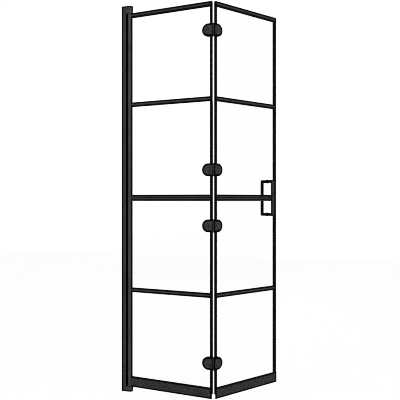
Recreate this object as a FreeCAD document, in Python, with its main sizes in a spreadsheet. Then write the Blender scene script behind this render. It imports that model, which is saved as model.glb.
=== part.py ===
import FreeCAD, Part
import os
import re
import Sketcher

# Folding shower enclosure: a two-leaf glass door on a wall jamb, half folded.
#
# Frame: the origin lies on the wall, at the foot of the wall channel and in the middle of its back.
# +X runs along the closed doorway away from the wall, +Y into the shower, +Z up. Millimetres, degrees.
#
# Each leaf is drawn in a flat frame of its own: x runs along the glass, y through it (minus is the
# outside, where the bars are), z up from the foot of the jamb. The inner leaf's frame turns about the
# wall pivot and the outer leaf's frame turns about the pins of the glass hinges.

PLAIN_SIZES = [
    # The jamb on the wall.
    ("post_height", 1850),
    ("channel_depth", 23),
    ("channel_width", 28),
    ("channel_wall", 1.8),
    ("channel_web", 2.2),
    ("slide_play", 0.3),
    ("profile_start", 6),
    ("profile_front", 24.4),
    ("profile_wall", 1.5),
    ("profile_groove_depth", 0.8),
    ("seal_width", 8),
    ("seal_shoulder", 0.4),
    ("screw_hole_radius", 2.75),
    ("screw_count", 4),
    ("screw_from_end", 130),
    ("pivot_x", 37.5),
    ("lower_block_height", 23),
    ("upper_block_height", 34.4),
    ("pivot_play", 0.8),
    # The turning stile and its pins.
    ("stile_radius", 10.5),
    ("stile_slot_start", 4.8),
    ("pin_radius", 3.5),
    ("pin_collar_radius", 6),
    ("pin_collar_play", 0.1),
    ("pin_depth", 26),
    ("block_grip", 12),
    ("pin_end_gap", 2),
    ("pin_play", 0.05),
    # The glass.
    ("glass_thickness", 6),
    ("glass_rise", 22.2),
    ("glass_head_gap", 1),
    ("glass_play", 0.1),
    ("slot_play", 0.3),
    # The leaves and the fold between them.
    ("inner_reach", 446.5),
    ("outer_reach", 416),
    ("inner_angle", -8.2),
    ("outer_angle", 60.2),
    ("fold_offset", 2),
    ("fold_gap", 8.4),
    ("trim_width", 9),
    ("trim_wall", 1),
    ("trim_web", 1.5),
    ("trim_play", 0.3),
    # The bars and the rail on the outside of the glass.
    ("bar_thickness", 5),
    ("bar_chamfer", 0.8),
    ("bar_height", 22),
    ("top_bar_height", 24),
    ("middle_bar_height", 30),
    ("middle_groove_height", 2.4),
    ("middle_groove_depth", 1.2),
    ("middle_groove_rise", 5),
    ("rail_height", 50.5),
    ("upper_bar_drop", 439.1),
    ("middle_bar_rise", 9.7),
    ("lower_bar_rise", 465),
    ("bar_stile_play", 0.3),
    ("cap_end_gap", 1.5),
    ("cap_wall", 2),
    ("cap_drop", 12),
    ("ledge_thickness", 2.2),
    ("drip_root_thickness", 1.6),
    ("drip_tip_thickness", 1.2),
    ("drip_lean", 1),
    ("drip_foot_width", 5),
    ("drip_clear", 1.5),
    ("drip_end_gap", 3),
    # The closing edge.
    ("closing_width", 14),
    ("closing_half_depth", 4.7),
    ("closing_web", 3.5),
    ("magnet_width", 4.5),
    ("magnet_half_depth", 4.8),
    ("magnet_round", 1),
    ("magnet_foot_width", 4.8),
    ("magnet_foot_depth", 2),
    # The glass hinges.
    ("hinge_height", 58),
    ("hinge_inner_length", 56),
    ("hinge_outer_length", 50),
    ("hinge_edge", 5.2),
    ("hinge_plate", 5),
    ("hinge_back_start", 18),
    ("hinge_rim", 1.2),
    ("knuckle_radius", 4.5),
    ("knuckle_share", 18),
    ("knuckle_play", 0.3),
    ("arm_thickness", 4),
    ("hinge_pin_radius", 2.5),
    ("hinge_pin_play", 0.08),
    ("hinge_pin_recess", 0.5),
    ("boss_from_fold", 32),
    ("boss_half_width", 6.6),
    ("boss_half_height", 19.6),
    ("boss_corner_cut", 4),
    ("boss_play", 0.4),
    ("low_hinge_rise", 158.5),
    ("top_hinge_drop", 128.4),
    ("middle_hinge_spread", 126.5),
    # The pair of handles.
    ("handle_from_edge", 59),
    ("handle_spacing", 160),
    ("handle_bar", 14),
    ("handle_width", 9.5),
    ("handle_reach", 42.6),
    ("handle_outer_round", 6.5),
    ("handle_inner_round", 2.5),
    ("handle_edge_bevel", 1),
    ("washer_radius", 9),
    ("washer_thickness", 1),
    ("sleeve_radius", 5.4),
    ("sleeve_play", 0.4),
    # The clear strip in the fold.
    ("fold_seal_thickness", 1.2),
    ("fold_seal_bulge", 1),
]

WORKED_OUT_SIZES = [
    ("half_glass", "glass_thickness / 2"),
    ("face", "half_glass + glass_play"),
    ("bar_face", "face + bar_thickness"),
    ("trim_face", "face + trim_wall"),
    ("leaf_bottom", "lower_block_height + pivot_play"),
    ("leaf_top", "post_height - upper_block_height - pivot_play"),
    ("glass_bottom", "leaf_bottom + glass_rise"),
    ("glass_top", "leaf_top - cap_wall - glass_play - glass_head_gap"),
    ("rail_top", "leaf_bottom + rail_height"),
    ("upper_bar_level", "leaf_top - upper_bar_drop"),
    ("middle_bar_level", "(leaf_bottom + leaf_top) / 2 + middle_bar_rise"),
    ("lower_bar_level", "leaf_bottom + lower_bar_rise"),
    ("hinge_1_level", "leaf_bottom + low_hinge_rise"),
    ("hinge_2_level", "middle_bar_level - middle_hinge_spread"),
    ("hinge_3_level", "middle_bar_level + middle_hinge_spread"),
    ("hinge_4_level", "leaf_top - top_hinge_drop"),
    ("screw_spacing", "(post_height - 2 * screw_from_end) / (screw_count - 1)"),
    ("fold_x", "pivot_x + inner_reach * cos(inner_angle) + fold_offset * sin(inner_angle)"),
    ("fold_y", "inner_reach * sin(inner_angle) - fold_offset * cos(inner_angle)"),
    ("outer_x", "fold_x - fold_offset * sin(outer_angle)"),
    ("outer_y", "fold_y + fold_offset * cos(outer_angle)"),
    ("inner_trim_edge", "inner_reach - fold_gap"),
    ("closing_start", "outer_reach - closing_width"),
    ("closing_end", "outer_reach - magnet_width"),
    ("closing_bed", "closing_end - closing_web"),
    ("closing_top", "leaf_top - top_bar_height - bar_stile_play"),
    ("closing_bottom", "rail_top + bar_stile_play"),
    ("handle_x", "outer_reach - handle_from_edge"),
    ("handle_low", "middle_bar_level - handle_spacing / 2"),
    ("handle_high", "middle_bar_level + handle_spacing / 2"),
]

# How far a cut runs past a face, and how far parts of one solid reach into each other.
OVERLAP = "1"

document = FreeCAD.newDocument("folding_shower_enclosure")
sheet = document.addObject("Spreadsheet::Sheet", "dims")
ALIASES = set()


def write_sizes():
    """Fill the sheet: plain numbers first, then the sizes worked out from them."""
    row = 1
    for alias, number in PLAIN_SIZES:
        sheet.set("A%d" % row, str(number))
        sheet.setAlias("A%d" % row, alias)
        row += 1
    for alias, formula in WORKED_OUT_SIZES:
        sheet.set("A%d" % row, "=" + formula)
        sheet.setAlias("A%d" % row, alias)
        row += 1
    for alias, _ in PLAIN_SIZES + WORKED_OUT_SIZES:
        ALIASES.add(alias)
    document.recompute()


def bound(text):
    """The expression with the sheet's name before each of its aliases."""
    def lead(word):
        return "dims." + word.group() if word.group() in ALIASES else word.group()
    return re.sub(r"[a-z_][a-z_0-9]*", lead, text)


def number(text):
    """What an expression on the sheet's aliases comes to now."""
    return float(sheet.evalExpression(bound(text)))


def bind(thing, prop, text):
    thing.setExpression(prop, bound(text))


# Frames that the pieces are drawn in: where the frame's origin lies and how far it is turned.
JAMB = ("0", "0", "0")
INNER_LEAF = ("pivot_x", "0", "inner_angle")
OUTER_LEAF = ("outer_x", "outer_y", "outer_angle")

pieces = []


def new_piece(label, frame):
    """A body of its own in one of the three frames."""
    body = document.addObject("PartDesign::Body", label)
    body.Label = label
    body.AllowCompound = True
    x, y, angle = frame
    body.Placement = FreeCAD.Placement(FreeCAD.Vector(), FreeCAD.Rotation(FreeCAD.Vector(0, 0, 1), 1))
    bind(body, "Placement.Base.x", x)
    bind(body, "Placement.Base.y", y)
    bind(body, "Placement.Rotation.Angle", angle)
    pieces.append(body)
    return body


def new_sketch(body, plane, start):
    """A sketch on one of the body's own planes, moved along that plane's normal by start.

    XY looks up. YZ looks along +x and holds (y, z). XZ looks along -y and holds (x, z).
    """
    sketch = body.newObject("Sketcher::SketchObject", "Sketch")
    role = plane + "_Plane"
    base = [feature for feature in body.Origin.OriginFeatures if feature.Role == role][0]
    sketch.AttachmentSupport = [(base, "")]
    sketch.MapMode = "FlatFace"
    bind(sketch, "AttachmentOffset.Base.z", start)
    return sketch


def pin_point(sketch, edge, end, x, y):
    """Hold an end (1), an end (2) or a centre (3) of an edge at two bound distances from the origin."""
    for kind, text in (("DistanceX", x), ("DistanceY", y)):
        if text is None:
            continue
        index = sketch.addConstraint(Sketcher.Constraint(kind, -1, 1, edge, end, number(text)))
        bind(sketch, "Constraints[%d]" % index, text)


def draw_outline(sketch, corners):
    """A closed outline through the corners, counterclockwise.

    A corner with a third value starts an arc to the next corner, and the value is the x of its centre.
    """
    count = len(corners)
    places = [FreeCAD.Vector(number(corner[0]), number(corner[1]), 0) for corner in corners]
    first = sketch.GeometryCount
    for i, corner in enumerate(corners):
        here = places[i]
        there = places[(i + 1) % count]
        if len(corner) == 3:
            centre = FreeCAD.Vector(number(corner[2]), (here.y + there.y) / 2, 0)
            out = here - centre
            middle = centre + FreeCAD.Vector(-out.y, out.x, 0)
            sketch.addGeometry(Part.Arc(here, middle, there), False)
        else:
            sketch.addGeometry(Part.LineSegment(here, there), False)
    for i, corner in enumerate(corners):
        sketch.addConstraint(Sketcher.Constraint("Coincident", first + i, 2, first + (i + 1) % count, 1))
    for i, corner in enumerate(corners):
        pin_point(sketch, first + i, 1, corner[0], corner[1])
        if len(corner) == 3:
            pin_point(sketch, first + i, 3, corner[2], None)


def draw_disc(sketch, x, y, radius):
    """A full circle at a bound place with a bound radius."""
    centre = FreeCAD.Vector(number(x), number(y), 0)
    circle = Part.Circle(centre, FreeCAD.Vector(0, 0, 1), number(radius))
    edge = sketch.addGeometry(circle, False)
    pin_point(sketch, edge, 3, x, y)
    index = sketch.addConstraint(Sketcher.Constraint("Radius", edge, number(radius)))
    bind(sketch, "Constraints[%d]" % index, radius)


def box_corners(x0, y0, x1, y1):
    """The corners of an upright rectangle, counterclockwise."""
    return [(x0, y0), (x1, y0), (x1, y1), (x0, y1)]


def notch_corners(x, level, half_width, half_height):
    """An upright rectangle about (x, level) with its four corners cut off at 45 degrees."""
    cut_size = "boss_corner_cut"
    left = "%s - %s" % (x, half_width)
    right = "%s + %s" % (x, half_width)
    low = "%s - %s" % (level, half_height)
    high = "%s + %s" % (level, half_height)
    return [
        (left + " + " + cut_size, low), (right + " - " + cut_size, low), (right, low + " + " + cut_size),
        (right, high + " - " + cut_size), (right + " - " + cut_size, high), (left + " + " + cut_size, high),
        (left, high + " - " + cut_size), (left, low + " + " + cut_size),
    ]


def pad(body, sketch, length):
    feature = body.newObject("PartDesign::Pad", "Pad")
    feature.Profile = sketch
    bind(feature, "Length", length)
    document.recompute()
    return feature


def cut(body, sketch, length):
    """Take the sketch's shape away along its own normal, and make sure that it took something."""
    before = body.Shape.Volume
    feature = body.newObject("PartDesign::Pocket", "Pocket")
    feature.Profile = sketch
    feature.Reversed = True
    bind(feature, "Length", length)
    document.recompute()
    if not body.Shape.Volume < before:
        raise RuntimeError("a cut in %s took nothing away" % body.Label)
    return feature


def pad_outline(body, plane, corners, start, length):
    sketch = new_sketch(body, plane, start)
    draw_outline(sketch, corners)
    return pad(body, sketch, length)


def pad_discs(body, plane, centres, radius, start, length):
    sketch = new_sketch(body, plane, start)
    for x, y in centres:
        draw_disc(sketch, x, y, radius)
    return pad(body, sketch, length)


def cut_outline(body, plane, corners, start, length):
    sketch = new_sketch(body, plane, start)
    draw_outline(sketch, corners)
    return cut(body, sketch, length)


def cut_discs(body, plane, centres, radius, start, length):
    sketch = new_sketch(body, plane, start)
    for x, y in centres:
        draw_disc(sketch, x, y, radius)
    return cut(body, sketch, length)


def edges_that(feature, test):
    """The names of a feature's edges that pass a test on their two ends."""
    names = []
    for i, edge in enumerate(feature.Shape.Edges):
        ends = [vertex.Point for vertex in edge.Vertexes]
        if len(ends) == 2 and test(ends[0], ends[1]):
            names.append("Edge%d" % (i + 1))
    return names


def round_edges(body, feature, names, radius):
    rounding = body.newObject("PartDesign::Fillet", "Fillet")
    rounding.Base = (feature, names)
    bind(rounding, "Radius", radius)
    document.recompute()
    return rounding


def bevel_edges(body, feature, names, size):
    bevel = body.newObject("PartDesign::Chamfer", "Chamfer")
    bevel.Base = (feature, names)
    bind(bevel, "Size", size)
    document.recompute()
    return bevel


def near(a, b):
    return abs(a - b) < 1e-4


# The jamb on the wall


def make_wall_channel():
    """A U section on the wall, open to the room side, with screw holes through its web."""
    body = new_piece("wall_channel", JAMB)
    half = "channel_width / 2"
    inside = "channel_width / 2 - channel_wall"
    corners = [
        ("0", "-" + half), ("channel_depth", "-" + half), ("channel_depth", "-(%s)" % inside),
        ("channel_web", "-(%s)" % inside), ("channel_web", inside), ("channel_depth", inside),
        ("channel_depth", half), ("0", half),
    ]
    pad_outline(body, "XY", corners, "0", "post_height")
    count = int(number("screw_count"))
    holes = [("0", "screw_from_end + %d * screw_spacing" % i) for i in range(count)]
    cut_discs(body, "YZ", holes, "screw_hole_radius", "0", "channel_web")


def make_jamb_profile():
    """The adjusting profile: a U that slides in the channel, with a shallow seat for the seal."""
    body = new_piece("jamb_profile", JAMB)
    half = "(channel_width / 2 - channel_wall - slide_play)"
    inside = "(channel_width / 2 - channel_wall - slide_play - profile_wall)"
    web = "profile_front - profile_wall - profile_groove_depth"
    seat = "profile_front - profile_groove_depth"
    corners = [
        ("profile_start", "-" + half), ("profile_front", "-" + half), ("profile_front", "-seal_width / 2"),
        (seat, "-seal_width / 2"), (seat, "seal_width / 2"), ("profile_front", "seal_width / 2"),
        ("profile_front", half), ("profile_start", half), ("profile_start", inside), (web, inside),
        (web, "-" + inside), ("profile_start", "-" + inside),
    ]
    bottom = "lower_block_height + slide_play"
    pad_outline(body, "XY", corners, bottom, "post_height - upper_block_height - slide_play - (%s)" % bottom)


def make_jamb_seal():
    """A dark bulb strip between the adjusting profile and the turning stile."""
    body = new_piece("jamb_seal", JAMB)
    back = "profile_front - profile_groove_depth + glass_play"
    crown = "pivot_x - stile_radius - slide_play"
    half = "(seal_width / 2 - glass_play)"
    corners = [
        (back, "-" + half), ("profile_front + seal_shoulder", "-" + half), (crown, "-%s / 2" % half),
        (crown, half + " / 2"), ("profile_front + seal_shoulder", half), (back, half),
    ]
    pad_outline(body, "XY", corners, "leaf_bottom", "leaf_top - leaf_bottom")


def make_pivot_block(label, bottom, height, bore_start):
    """A block with a round nose over the pivot and a tongue that fills the end of the channel."""
    body = new_piece(label, JAMB)
    half = "channel_width / 2"
    nose = [("channel_depth", "-" + half), ("pivot_x", "-" + half, "pivot_x"), ("pivot_x", half),
            ("channel_depth", half)]
    pad_outline(body, "XY", nose, bottom, height)
    tongue_half = "(channel_width / 2 - channel_wall - slide_play)"
    tongue = box_corners("profile_start", "-" + tongue_half, "channel_depth + " + OVERLAP, tongue_half)
    pad_outline(body, "XY", tongue, bottom, height)
    cut_discs(body, "XY", [("pivot_x", "0")], "pin_radius + pin_play", bore_start, "block_grip + pin_end_gap")


def make_lower_pivot_pin():
    """A turned pin with a collar that carries the stile just clear of its block."""
    body = new_piece("lower_pivot_pin", INNER_LEAF)
    sketch = new_sketch(body, "XZ", "0")
    low = "lower_block_height - block_grip"
    high = "leaf_bottom + pin_depth"
    collar_low = "lower_block_height + pin_collar_play"
    collar_high = "leaf_bottom - pin_collar_play"
    draw_outline(sketch, [
        ("0", low), ("pin_radius", low), ("pin_radius", collar_low), ("pin_collar_radius", collar_low),
        ("pin_collar_radius", collar_high), ("pin_radius", collar_high), ("pin_radius", high), ("0", high),
    ])
    turned = body.newObject("PartDesign::Revolution", "Revolution")
    turned.Profile = sketch
    turned.ReferenceAxis = (sketch, ["V_Axis"])
    turned.Angle = 360
    document.recompute()


def make_upper_pivot_pin():
    """A plain pin: nothing hangs on it, so it needs no collar."""
    body = new_piece("upper_pivot_pin", INNER_LEAF)
    pad_discs(body, "XY", [("0", "0")], "pin_radius", "leaf_top - pin_depth",
              "pin_depth + pivot_play + block_grip")


def make_jamb():
    make_wall_channel()
    make_jamb_profile()
    make_jamb_seal()
    make_pivot_block("lower_pivot_block", "0", "lower_block_height",
                     "lower_block_height - block_grip - pin_end_gap")
    make_pivot_block("upper_pivot_block", "post_height - upper_block_height", "upper_block_height",
                     "post_height - upper_block_height")
    make_lower_pivot_pin()
    make_upper_pivot_pin()


# Uprights of the two leaves


def make_pivot_stile():
    """A round section with a slot for the glass and a bore from end to end for the pivot pins."""
    body = new_piece("pivot_stile", INNER_LEAF)
    pad_discs(body, "XY", [("0", "0")], "stile_radius", "leaf_bottom", "leaf_top - leaf_bottom")
    slot = box_corners("stile_slot_start", "-half_glass - slot_play", "stile_radius + " + OVERLAP,
                       "half_glass + slot_play")
    cut_outline(body, "XY", slot, "leaf_bottom", "leaf_top - leaf_bottom")
    cut_discs(body, "XY", [("0", "0")], "pin_radius + pin_play", "leaf_bottom", "leaf_top - leaf_bottom")


def make_fold_stile(label, frame, edge, inward):
    """A slim U trim on the glass edge beside the fold. inward is + or -, from the edge to the glass."""
    body = new_piece(label, frame)
    tip = "%s %s trim_width" % (edge, inward)
    web = "%s %s trim_web" % (edge, inward)
    corners = [
        (edge, "-trim_face"), (edge, "trim_face"), (tip, "trim_face"), (tip, "face"), (web, "face"),
        (web, "-face"), (tip, "-face"), (tip, "-trim_face"),
    ]
    if inward == "+":
        corners = corners[::-1]
    pad_outline(body, "XY", corners, "glass_bottom", "glass_top - glass_bottom")


def make_closing_stile():
    """The profile at the closing edge: a slot for the glass and a seat for the magnetic strip's foot."""
    seat_half = "(magnet_foot_width / 2 + glass_play)"
    seat = "closing_end - magnet_foot_depth"
    corners = [
        ("closing_start", "-closing_half_depth"), ("closing_end", "-closing_half_depth"),
        ("closing_end", "-" + seat_half), (seat, "-" + seat_half), (seat, seat_half),
        ("closing_end", seat_half), ("closing_end", "closing_half_depth"),
        ("closing_start", "closing_half_depth"), ("closing_start", "face"), ("closing_bed", "face"),
        ("closing_bed", "-face"), ("closing_start", "-face"),
    ]
    body = new_piece("closing_stile", OUTER_LEAF)
    pad_outline(body, "XY", corners, "closing_bottom", "closing_top - closing_bottom")


def make_magnetic_strip():
    """The dark magnet seal that stands out of the closing edge: a foot and a head with rounded corners."""
    foot = "closing_end - magnet_foot_depth + glass_play"
    head = "closing_end + glass_play"
    foot_half = "magnet_foot_width / 2"
    corners = [
        (foot, "-" + foot_half), (head, "-" + foot_half), (head, "-magnet_half_depth"),
        ("outer_reach", "-magnet_half_depth"), ("outer_reach", "magnet_half_depth"),
        (head, "magnet_half_depth"), (head, foot_half), (foot, foot_half),
    ]
    body = new_piece("magnetic_strip", OUTER_LEAF)
    strip = pad_outline(body, "XY", corners, "closing_bottom", "closing_top - closing_bottom")
    tip = number("outer_reach")
    upright = edges_that(strip, lambda p, q: near(p.x, tip) and near(q.x, tip) and not near(p.z, q.z))
    round_edges(body, strip, upright, "magnet_round")


# The glass


def hinge_levels():
    return ["hinge_%d_level" % i for i in (1, 2, 3, 4)]


def make_glass(label, frame, start, end, boss_x, more_holes):
    """A pane with a cut-out for each hinge and any round holes that it needs."""
    body = new_piece(label, frame)
    corners = box_corners(start, "glass_bottom", end, "glass_top")
    pad_outline(body, "XZ", corners, "-half_glass", "glass_thickness")
    sketch = new_sketch(body, "XZ", "-half_glass")
    for level in hinge_levels():
        draw_outline(sketch, notch_corners(boss_x, level, "(boss_half_width + boss_play)",
                                           "(boss_half_height + boss_play)"))
    cut(body, sketch, "glass_thickness")
    if more_holes:
        cut_discs(body, "XZ", more_holes, "sleeve_radius + sleeve_play", "-half_glass", "glass_thickness")


# Bars and rails on the outside of the glass


def bar_section(low, high):
    """A flat bar's section in (y, z), with its two outer edges bevelled."""
    return [
        ("-face", low), ("-face", high), ("-bar_face + bar_chamfer", high),
        ("-bar_face", high + " - bar_chamfer"), ("-bar_face", low + " + bar_chamfer"),
        ("-bar_face + bar_chamfer", low),
    ]


def groove_section(low, high):
    """The middle bar's section: a flat bar with a shadow groove above its lower edge."""
    groove = "(%s + middle_groove_rise)" % low
    depth = "-bar_face + middle_groove_depth"
    return [
        ("-face", low), ("-face", high), ("-bar_face + bar_chamfer", high),
        ("-bar_face", high + " - bar_chamfer"), ("-bar_face", groove + " + middle_groove_height"),
        (depth, groove + " + middle_groove_height"), (depth, groove), ("-bar_face", groove),
        ("-bar_face", low + " + bar_chamfer"), ("-bar_face + bar_chamfer", low),
    ]


def cap_section(low, high):
    """The top bar's section: a flat bar that turns over the top of the glass and down its back."""
    return [
        ("-face", low), ("-face", high + " - cap_wall"), ("face", high + " - cap_wall"),
        ("face", high + " - cap_drop"), ("face + cap_wall", high + " - cap_drop"),
        ("face + cap_wall", high), ("-bar_face + bar_chamfer", high), ("-bar_face", high + " - bar_chamfer"),
        ("-bar_face", low + " + bar_chamfer"), ("-bar_face + bar_chamfer", low),
    ]


def rail_section(low, high):
    """The bottom rail's section: a skirt, and a ledge that goes under the glass and up its back."""
    ledge = "(glass_bottom - glass_play)"
    return [
        ("-face", low), ("-face", ledge + " - ledge_thickness"),
        ("face + cap_wall", ledge + " - ledge_thickness"), ("face + cap_wall", ledge + " + cap_drop"),
        ("face", ledge + " + cap_drop"), ("face", ledge), ("-face", ledge), ("-face", high),
        ("-bar_face + bar_chamfer", high), ("-bar_face", high + " - bar_chamfer"),
        ("-bar_face", low + " + bar_chamfer"), ("-bar_face + bar_chamfer", low),
    ]


def make_bar(label, frame, section, start, end, relief):
    """A bar along the leaf. The relief (x0, x1, y1, z0, z1) takes its back away over the fold stile."""
    body = new_piece(label, frame)
    pad_outline(body, "YZ", section[::-1], start, "%s - (%s)" % (end, start))
    x0, x1, y1, z0, z1 = relief
    corners = box_corners("-trim_face - glass_play", z0, y1, z1)
    cut_outline(body, "YZ", corners, x0, "%s - (%s)" % (x1, x0))


def make_drip_seal(label, frame, start, end):
    """A soft wiper under the ledge, behind the skirt: a foot and a lip that leans to the outside."""
    body = new_piece(label, frame)
    top = "glass_bottom - glass_play - ledge_thickness - glass_play"
    foot = "%s - drip_root_thickness" % top
    tip = "leaf_bottom + drip_clear"
    half = "drip_foot_width / 2"
    corners = [
        ("-" + half, top), ("-" + half, foot), ("-drip_root_thickness / 2", foot),
        ("-drip_lean - drip_tip_thickness / 2", tip), ("-drip_lean + drip_tip_thickness / 2", tip),
        ("drip_root_thickness / 2", foot), (half, foot), (half, top),
    ]
    pad_outline(body, "YZ", corners, start, "%s - (%s)" % (end, start))


def make_leaf_bars(name, frame, start, ends, trim):
    """The five bars of one leaf, which all pass over its fold stile, and that is the trim (x0, x1).

    ends says where the top bar, the three bars on the glass and the rail stop.
    """
    top_end, bar_end, rail_end = ends
    bars = [
        ("top_bar", cap_section, "leaf_top - top_bar_height", "leaf_top", top_end),
        ("upper_bar", bar_section, "upper_bar_level - bar_height / 2",
         "upper_bar_level + bar_height / 2", bar_end),
        ("middle_bar", groove_section, "middle_bar_level - middle_bar_height / 2",
         "middle_bar_level + middle_bar_height / 2", bar_end),
        ("lower_bar", bar_section, "lower_bar_level - bar_height / 2",
         "lower_bar_level + bar_height / 2", bar_end),
        ("bottom_rail", rail_section, "leaf_bottom", "rail_top", rail_end),
    ]
    for bar_name, section, low, high, end in bars:
        relief_low = "%s - %s" % (low, OVERLAP)
        relief_high = "%s + %s" % (high, OVERLAP)
        reach = "0"
        if bar_name == "top_bar":
            relief_high = "leaf_top - cap_wall"
            reach = "face + cap_wall + " + OVERLAP
        if bar_name == "bottom_rail":
            relief_low = "glass_bottom - glass_play"
            reach = "face + cap_wall + " + OVERLAP
        relief = (trim[0], trim[1], reach, relief_low, relief_high)
        make_bar("%s_%s" % (name, bar_name), frame, section(low, high), start, end, relief)


# The glass hinges


def plate_outline(side, near_fold, level):
    """A D: straight towards the fold and round away from it. side is + for the outer leaf."""
    low = level + " - hinge_height / 2"
    high = level + " + hinge_height / 2"
    if side == "+":
        centre = "hinge_outer_length - hinge_height / 2"
        return [(near_fold, low), (centre, low, centre), (centre, high), (near_fold, high)]
    centre = "inner_reach - hinge_inner_length + hinge_height / 2"
    fold_side = "inner_reach - " + near_fold
    return [(fold_side, high), (centre, high, centre), (centre, low), (fold_side, low)]


def make_hinge_leaf(label, frame, side, level, knuckles):
    """One half of a glass hinge: two D plates joined through the glass, and its share of the knuckle."""
    body = new_piece(label, frame)
    front = pad_outline(body, "XZ", plate_outline(side, "hinge_edge", level), "face", "hinge_plate")
    skin = -number("face + hinge_plate")
    fold_edge = number("hinge_edge") if side == "+" else number("inner_reach - hinge_edge")
    rim = edges_that(front, lambda p, q: near(p.y, skin) and near(q.y, skin)
                     and not (near(p.x, fold_edge) and near(q.x, fold_edge)))
    bevel_edges(body, front, rim, "hinge_rim")
    back = plate_outline(side, "hinge_back_start", level)
    pad_outline(body, "XZ", back, "-face - hinge_plate", "hinge_plate")
    axis = "0" if side == "+" else "inner_reach"
    boss_x = "%s %s boss_from_fold" % (axis, side)
    boss = notch_corners(boss_x, level, "boss_half_width", "boss_half_height")
    pad_outline(body, "XZ", boss, "-face - " + OVERLAP, "2 * (face + %s)" % OVERLAP)
    trim0 = "%s %s (fold_gap - trim_play)" % (axis, side)
    trim1 = "%s %s (fold_gap + trim_width + trim_play)" % (axis, side)
    low_edge = "%s - hinge_height / 2 - %s" % (level, OVERLAP)
    high_edge = "%s + hinge_height / 2 + %s" % (level, OVERLAP)
    left, right = (trim0, trim1) if side == "+" else (trim1, trim0)
    cut_outline(body, "XZ", box_corners(left, low_edge, right, high_edge), "face - " + OVERLAP,
                "trim_wall + glass_play + " + OVERLAP)
    for low, high in knuckles:
        height = "%s - (%s)" % (high, low)
        pad_discs(body, "XY", [(axis, "-fold_offset")], "knuckle_radius", low, height)
        arm_end = "%s %s (hinge_edge + %s)" % (axis, side, OVERLAP)
        arm = (axis, arm_end) if side == "+" else (arm_end, axis)
        arm_face = "-face - hinge_plate"
        corners = box_corners(arm[0], arm_face, arm[1], arm_face + " + arm_thickness")
        pad_outline(body, "XY", corners, low, height)
        cut_discs(body, "XY", [(axis, "-fold_offset")], "hinge_pin_radius + hinge_pin_play", low, height)


def make_hinge(index, level):
    low = level + " - hinge_height / 2"
    high = level + " + hinge_height / 2"
    inner_knuckles = [(low, low + " + knuckle_share"), (high + " - knuckle_share", high)]
    outer_knuckle = [(low + " + knuckle_share + knuckle_play", high + " - knuckle_share - knuckle_play")]
    name = "hinge_%d_" % index
    make_hinge_leaf(name + "inner_leaf", INNER_LEAF, "-", level, inner_knuckles)
    make_hinge_leaf(name + "outer_leaf", OUTER_LEAF, "+", level, outer_knuckle)
    pin = new_piece(name + "pin", OUTER_LEAF)
    pad_discs(pin, "XY", [("0", "-fold_offset")], "hinge_pin_radius", low + " + hinge_pin_recess",
              "hinge_height - 2 * hinge_pin_recess")


# The handles


def make_handle(label, side):
    """A D handle of flat bar on one face of the glass. side is - outside and + inside."""
    body = new_piece(label, OUTER_LEAF)
    foot = "%s(half_glass + washer_thickness + glass_play)" % side
    grip = "%shandle_reach" % side
    inner_grip = "%s(handle_reach - handle_bar)" % side
    low = "handle_low - handle_bar / 2"
    high = "handle_high + handle_bar / 2"
    corners = [
        (foot, low), (grip, low), (grip, high), (foot, high), (foot, high + " - handle_bar"),
        (inner_grip, high + " - handle_bar"), (inner_grip, low + " + handle_bar"),
        (foot, low + " + handle_bar"),
    ]
    if side == "-":
        corners = corners[::-1]
    start = "handle_x - handle_width / 2"
    loop = pad_outline(body, "YZ", corners, start, "handle_width")

    def across_at(y):
        return lambda p, q: near(p.y, y) and near(q.y, y) and not near(p.x, q.x)
    grip_y = number(grip)
    inner_y = number(inner_grip)
    loop = round_edges(body, loop, edges_that(loop, across_at(grip_y)), "handle_outer_round")
    loop = round_edges(body, loop, edges_that(loop, across_at(inner_y)), "handle_inner_round")
    side_planes = (number(start), number(start) + number("handle_width"))
    foot_y = number(foot)
    rim = edges_that(loop, lambda p, q: near(p.x, q.x) and min(abs(p.x - x) for x in side_planes) < 1e-4
                     and not (near(p.y, foot_y) and near(q.y, foot_y)))
    bevel_edges(body, loop, rim, "handle_edge_bevel")


def make_handle_fixings():
    """Washers under the handles' feet, and the sleeves between them that fill the holes in the glass."""
    centres = [("handle_x", "handle_low"), ("handle_x", "handle_high")]
    washers = new_piece("handle_washers", OUTER_LEAF)
    for start in ("half_glass", "-half_glass - washer_thickness"):
        pad_discs(washers, "XZ", centres, "washer_radius", start, "washer_thickness")
    sleeves = new_piece("handle_sleeves", OUTER_LEAF)
    pad_discs(sleeves, "XZ", centres, "sleeve_radius", "-half_glass", "glass_thickness")


# The clear strip in the fold


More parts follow.
